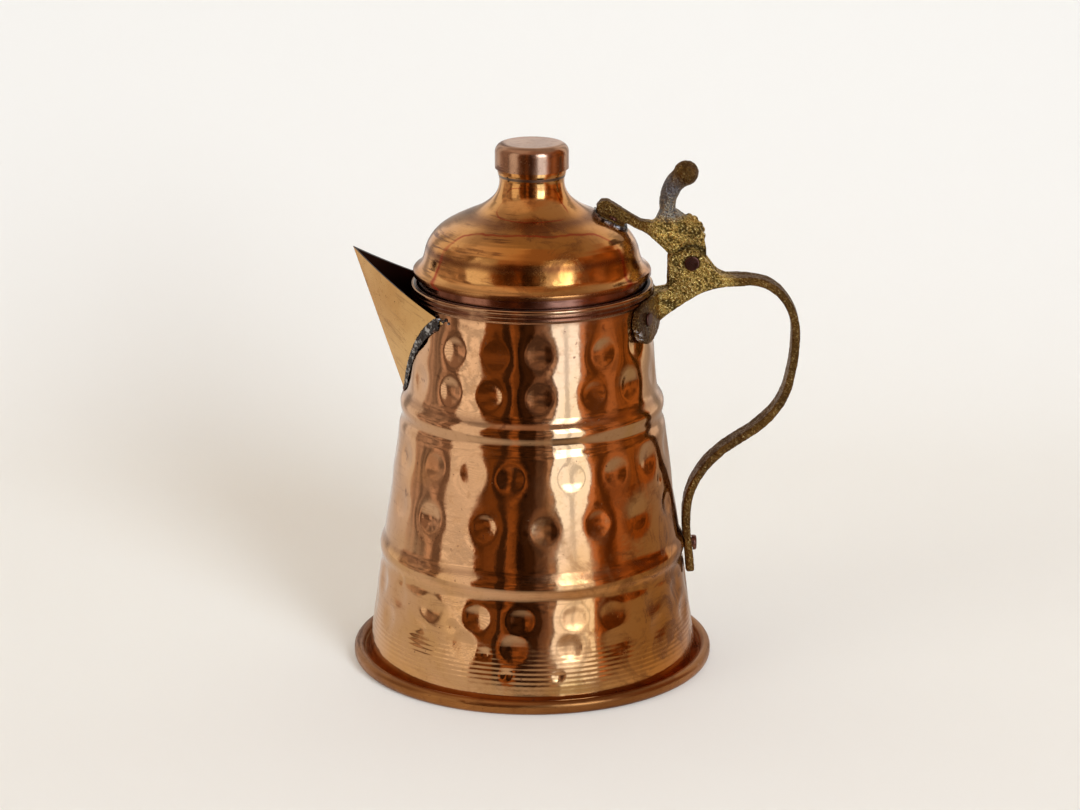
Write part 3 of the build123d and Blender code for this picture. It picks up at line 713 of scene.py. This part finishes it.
# Spots on the castings by place and reach
fork_gold, arm_gold = ((0.05, -0.004, 0.129), 0.016), ((0.049, 0, 0.145), 0.012)
# The lever arm's blue-grey spot is a painted reflection of the sky
arm_sky_reflection, wing_glints = ((0.0435, 0, 0.1535), 0.0075), ((0.0322, -0.0236, 0.1125), 0.004)
wing_dark_patch = ((0.034, -0.0225, 0.1175), 0.008)
# The rings round the hinge pin are painted shade: round the pin on the handle, and where the lever's
# knuckle meets the ears
brass_handle = brass("handle brass", (0.74, 0.47, 0.11), (0.26, 0.13, 0.03), fork_gold,
                     glints=wing_glints, dark_patch=wing_dark_patch, rings=[(2.4 * MM, 0.5 * MM)])
brass_lever = brass("lever brass", (0.86, 0.56, 0.13), (0.26, 0.135, 0.03), arm_gold,
                    arm_sky_reflection, rings=[(5.3 * MM, 1.1 * MM)])
print("hinge axis:", round(pin_x, 4), round(pin_z, 4))


# %% [markdown]
# ## The skin of a casting
# Sand leaves no sharp edge and no flat face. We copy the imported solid, let Remesh give
# it an even skin of small quads, soften the corners as metal rounds them in a mould,
# and push every point along its normal by a sum of noises. A bump map alone would
# leave the outline smooth, and a casting's outline is never smooth.

# %% Copy a solid and roughen it
def copy_of(node, name, beads=()):
    """A merged copy of a CAD node's mesh, with round beads put on it: a place and a radius each."""
    mesh = nodes[node].data.copy()
    mesh.materials.clear()
    work = bmesh.new()
    work.from_mesh(mesh)
    bmesh.ops.remove_doubles(work, verts=work.verts, dist=1e-6)
    for *place, radius in beads:
        spot = Matrix.Translation(place)
        bmesh.ops.create_icosphere(work, subdivisions=3, radius=radius, matrix=spot)
    work.to_mesh(mesh)
    work.free()
    return placed(name, mesh)


# A noise seldom passes these, so nearly all of the skin sinks into its solid
highest_lump, highest_grain = 0.72, 0.7


def cast(node, name, body, material, voxel, rounding, lump, grain, beads=()):
    """A rough casting that stands for a node. Lump and grain are the heights of its skin."""
    thing = copy_of(node, name, beads)
    even = thing.modifiers.new("even", "REMESH")
    even.mode, even.voxel_size = "VOXEL", voxel
    soft = thing.modifiers.new("soft", "SMOOTH")
    soft.factor, soft.iterations = 0.5, rounding
    settled(thing)
    skin = Recipe(f"{name} skin", lump=lump, grain=grain, metal=material)
    push = (skin.noise(190, 3, 0.55) - highest_lump) * skin.inputs["lump"]
    push = push + (skin.noise(800, 2, 0.5) - highest_grain) * skin.inputs["grain"]
    normal = skin.add("GeometryNodeInputNormal", {}, {})
    away = skin.add("ShaderNodeVectorMath", {"operation": "SCALE"}, {0: normal, "Scale": push})
    rough = skin.add("GeometryNodeSetPosition", {}, {"Geometry": skin.start, "Offset": away})
    rough = skin.add("GeometryNodeSetShadeSmooth", {}, {0: rough})
    skin.finish_on(thing, rough, skin.inputs["metal"])
    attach(thing, body)
    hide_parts(node)
    print(name, "faces:", len(thing.data.polygons))


# %% The handle and the lever
cast("handle", "cast_handle", "pot", brass_handle,
     voxel=0.42 * MM, rounding=5, lump=0.5 * MM, grain=0.25 * MM)
# The lever's back has a ridge of lumps: x, y, z and radius of each
ridge = [(0.0500, -0.0010, 0.1476, 0.0016), (0.0517, 0.0008, 0.1462, 0.0018),
         (0.0532, -0.0008, 0.1449, 0.0017), (0.0540, 0.0012, 0.1431, 0.0017),
         (0.0544, -0.0012, 0.1416, 0.0014), (0.0462, -0.0016, 0.1435, 0.0012)]
cast("lid_lever", "cast_lever", "lid", brass_lever,
     voxel=0.3 * MM, rounding=5, lump=0.7 * MM, grain=0.35 * MM, beads=ridge)


# %% [markdown]
# ## Solder
# The beak is a folded sheet that stands on the wall by a run of soft solder. It was
# run in by hand with an iron, so it is lumpy, its edge wanders, and crumbs of it stuck
# above its upper ends. The recipe for the castings makes it too, in a finer grid and
# with taller lumps for its size, because it froze in much the same way.

# %% The solder finish
def solder_finish(black=(0.045, 0.035, 0.03), grey=(0.55, 0.53, 0.5), rust=(0.25, 0.1, 0.05)):
    finish = Finish("tin solder")
    mottle = finish.noise(420, 4, 0.65)
    # The grey spots on the black solder are painted glints
    colour = finish.blend(mottle.ramp(0.5, 0.62), black, grey)
    colour = finish.blend(finish.noise(160, 3).ramp(0.55, 0.66) * 0.7, colour, rust)
    return finish.end(colour, 0.25 + mottle * 0.2, finish.bump(mottle, 0.8 * MM))


# %% The seam and its crumbs
solder = solder_finish()
crumb_turns, crumb_low, crumb_high = (-55, -52, -49.5, -47, -45, -43), 0.1195, 0.1212
crumb_chance = random.Random(11)
crumbs = []
for side in (-1, 1):
    for turn in crumb_turns:
        x, y, z = on_wall(turn, crumb_chance.uniform(crumb_low, crumb_high))
        crumbs.append((x, -side * y, z, crumb_chance.uniform(0.5, 0.9) * MM))
cast("spout_solder", "spout_seam", "pot", solder,
     voxel=0.16 * MM, rounding=2, lump=0.7 * MM, grain=0.35 * MM, beads=crumbs)
dress(solder, "lid_solder")


# %% [markdown]
# ## What stays as it was packed
# Beak, lid, knob, base and rivets already have their final shapes, so they only get
# their finish. The rivets and the pin are browned like the rest, and never polished.

# %% Dress the solids
rivet_copper = copper("rivet copper", (0.22, 0.09, 0.06), (0.08, 0.035, 0.025), 0.25, streaks=0.5)
dress(spout_copper, "spout")
dress(lid_copper, "lid_shell")
dress(knob_copper, "lid_knob")
dress(rim_copper, "base_plate")
dress(sleeve_copper, "lid_sleeve")
dress(rivet_copper, "wing_rivets", "foot_rivet", "hinge_pin", "lid_rivets")


# %% [markdown]
# ## The pale sweep
# A photographer stands a small thing on a sheet of paper that curves up behind it, so
# that floor and background have no line between them. Polished metal would mirror that
# paper to its end. We let it fade to glossy rays where the copper shows no more of it,
# and a camera behind the paper looks through its back.

# %% Bend the paper
def sweep(width=4.0, front=-1.6, back=0.2, bend=0.3, height=1.6):
    """Floor and backdrop in one sheet with a rounded foot."""
    line = [(front, 0.0), (back, 0.0)]
    line += [(back + bend * math.sin(math.radians(a)), bend - bend * math.cos(math.radians(a)))
             for a in range(6, 90, 6)]
    line += [(back + bend, bend), (back + bend, height)]
    points = [(x, y, z) for y, z in line for x in (-width / 2, width / 2)]
    faces = [(2 * i, 2 * i + 1, 2 * i + 3, 2 * i + 2) for i in range(len(line) - 1)]
    thing = new_thing("sweep", points, faces=faces)
    thing.data.polygons.foreach_set("use_smooth", [True] * len(faces))
    return thing


backdrop = sweep()
print("sweep points:", len(backdrop.data.vertices))


# %% Colour the paper
paper = Finish("pale paper")
cream, pale, paper_shade_grey = (0.9, 0.86, 0.75, 1), (0.9, 0.88, 0.845, 1), (0.42, 0.37, 0.32, 1)
camera_ray = paper.add("ShaderNodeLightPath", {}, {}, "Is Camera Ray")
glossy_ray = paper.other(camera_ray, "Is Glossy Ray")
mirrored = glossy_ray.most(paper.other(camera_ray, "Is Transmission Ray"))
away = paper.gap_to((0, 0, 0))
shade = paper.add("ShaderNodeBsdfPrincipled", {}, {"Base Color": cream, "Roughness": 0.9})
glow = paper.add("ShaderNodeEmission", {}, {"Color": pale})
# The grey glow is painted shade on the paper that glossy rays see, full on the right and under half on
# the left
dim = paper.add("ShaderNodeEmission", {}, {"Color": paper_shade_grey})
dimmed = mirrored * (paper.x.ramp(-0.1, 0.1) * 0.55 + 0.45)
glow = paper.add("ShaderNodeMixShader", {}, {0: dimmed, 1: glow, 2: dim})
# Near the pot the paper is shaded, so that the shadow shows, and farther off it glows
far_off, past_foot = away.ramp(0.15, 0.9) * 0.8 + 0.2, away.ramp(0.05, 0.12)
share = (camera_ray * far_off).most(mirrored * past_foot)
surface = paper.add("ShaderNodeMixShader", {}, {0: share, 1: shade, 2: glow})
# Where the paper fades out in the metal, in metres from the pot's axis
front_fade, back_fade, right_fade, left_fade = (0.08, 0.2), (0.25, 0.4), (0.3, 0.55), (-0.2, -0.4)
past_side = paper.x.ramp(*right_fade).most(paper.x.ramp(*left_fade))
past_edge = (paper.y * -1).ramp(*front_fade).most(past_side).most(paper.y.ramp(*back_fade))
from_behind = paper.add("ShaderNodeNewGeometry", {}, {}, "Backfacing")
cut = (glossy_ray * past_edge).most(camera_ray * from_behind)
nothing = paper.add("ShaderNodeBsdfTransparent", {}, {})
surface = paper.add("ShaderNodeMixShader", {}, {0: cut, 1: surface, 2: nothing})
paper.add("ShaderNodeOutputMaterial", {}, {"Surface": surface})
backdrop.data.materials.append(paper.material)
print("paper colour:", cream[:3])


# %% [markdown]
# ## Camera and lamps
# The lens and the tilt are the ones that bring the pot's rings onto the rings of the
# photograph. Two tall soft lamps stand at the turns where the copper shows windows. A
# lamp's own mirror image would be a hard white card in the copper, so glossy rays
# don't see them, and the room shows the windows instead.

# %% The camera
camera = bpy.data.cameras.new("camera")
camera.lens, camera.sensor_width, camera.sensor_fit = 107.03, 36.0, "HORIZONTAL"
camera.clip_start, camera.clip_end = 0.05, 20
look_down, look_aside, eye = 16.479, -0.147, (0, -1.0, 0.38069)
viewer = placed("camera", camera)
viewer.matrix_world = (
    Matrix.Translation(eye)
    @ Matrix.Rotation(math.radians(look_aside), 4, "Z")
    @ Matrix.Rotation(math.radians(90 - look_down), 4, "X")
)
bpy.context.scene.camera = viewer
print("camera looks down by", look_down, "degrees")


# %% The lamps
pot_middle = Vector((0, 0, 0.08))


def window(name, place, size, power, colour):
    """A soft lamp that faces the pot. Its mirror image is left to the room."""
    light = bpy.data.lights.new(name, "AREA")
    light.shape, light.size, light.size_y = "RECTANGLE", *size
    light.energy, light.color = power, colour
    lamp = placed(name, light)
    aim = (pot_middle - Vector(place)).to_track_quat("-Z", "Z")
    lamp.matrix_world = Matrix.Translation(place) @ aim.to_matrix().to_4x4()
    lamp.visible_glossy = False
    print(name, "of", power, "W")


window("right window", (0.8, -1.5, 0.75), (0.45, 0.8), 17, (0.92, 0.98, 1.1))
window("left window", (-1.3, -0.8, 0.7), (0.3, 1.0), 4, (0.93, 0.97, 1.0))


# %% [markdown]
# ## The room that the copper shows
# A round pot is a map of the room: each upright band on it is something that stands at
# one turn round it. We could build the room from walls and furniture, but the copper
# shows only their bands. So the world is a drawing by turn and rise: windows, dark
# boards, a pale wall with shelves behind, and a ceiling. It lights the pot and is seen
# in the metal, and the camera sees a plain pale colour in its place.

# %% Turn and rise
world = bpy.data.worlds.new("room")
bpy.context.scene.world = world
world.use_nodes = True
room = Sheet(world.node_tree)
way = room.add("ShaderNodeTexCoord", {}, {}, "Generated")
way_x, way_y, way_z = room.parts(way)
turn = way_x.math("ARCTAN2", way_y * -1) * math.degrees(1)
rise = way_z.math("ARCSINE") * math.degrees(1)


def strip(start, end, soft=2.0):
    """1 in a strip of the room between two turns from the camera's side, in degrees."""
    return turn.ramp(start - soft, start + soft) * turn.ramp(end + soft, end - soft)


def stretch(strips, value):
    """Adds up one value of the room's strips."""
    return sum_of([strip(start, end, 1.5) * row[value] for start, end, *row in strips])


# %% Boards, windows, shelves and ceiling
# Turns where a strip starts and ends, how bright it is, and how much wood is in its colour
boards = [
    (-117, -90, 0.38, 0.35), (-90, -84, 0.5, 0.4), (-84, -74, 0.22, 0.5),
    (-45, -28, 0.16, 1.0), (-28, -20, 0.04, 0.9), (-20, -12, 0.3, 1.0), (-12, 3, 0.04, 0.9),
    (3, 12, 0.18, 0.6), (12, 19, 0.42, 0.4), (45, 52, 0.55, 0.8), (52, 68, 0.25, 1.0),
    (68, 84, 0.34, 0.9), (84, 98, 0.24, 1.0), (98, 121, 0.32, 1.0),
]
shelf_strips = [(138, 150, 3), (163, 169, 2), (-176, -162, 3), (-148, -138, 3)]
brightness, woodiness = 0, 1
left_window, right_window, right_panes, post = (-74, -45), (19, 45), (21, 43), (30, 34)
slat_rise, right_brightness, upper_brightness = 4.0, 2.1, 4
blinds = (rise * (2 * math.pi / slat_rise)).sine() * 0.3 + 0.95
mullion = 1 - strip(*post, 1) * 0.4
above_sill, below_head = rise.ramp(-32, -24), rise.ramp(46, 34)
panes = strip(*left_window) * blinds + strip(*right_window, 1) * mullion * right_brightness
upper_part = rise.ramp(4, 12) * rise.ramp(44, 36)
upper_pane = strip(*right_panes, 1) * mullion * upper_part * upper_brightness
shelves = sum_of([strip(*shelf) for shelf in shelf_strips])
far_wall = turn.ramp(-115, -119).most(turn.ramp(119, 123)) * 0.85
far_wall = far_wall * (1 - shelves * rise.ramp(36, 28) * 0.55)
clutter = room.noise(5, 3, 0.6, way).ramp(0.36, 0.64) + 0.5
walls = stretch(boards, brightness) * clutter + panes * above_sill * below_head + far_wall
ceiling = strip(-120, -20, 20) * 0.3 + 0.42
above = rise.ramp(34, 52)
level = walls + (ceiling - walls) * above + upper_pane
print("room:", len(boards), "boards, two windows and", len(shelf_strips), "shelves")


# %% Colour the room
wood = stretch(boards, woodiness) * (1 - above) + above * (strip(-30, 70, 30) * 0.3 + 0.2)
tint = room.blend(wood, (1.0, 0.97, 0.93), (1.0, 0.38, 0.1))
tint = room.blend(strip(18, 46) * (1 - above), tint, (0.78, 1.0, 1.32))
seen = room.add("ShaderNodeLightPath", {}, {}, "Is Camera Ray")
light = room.add("ShaderNodeBackground", {}, {"Color": tint, "Strength": level})
plain = room.add("ShaderNodeBackground", {}, {"Color": (0.89, 0.87, 0.845, 1), "Strength": 1.0})
mixed = room.add("ShaderNodeMixShader", {}, {0: seen, 1: light, 2: plain})
room.add("ShaderNodeOutputWorld", {}, {"Surface": mixed})
bpy.context.scene.view_settings.view_transform = "Standard"
print("view transform:", bpy.context.scene.view_settings.view_transform)
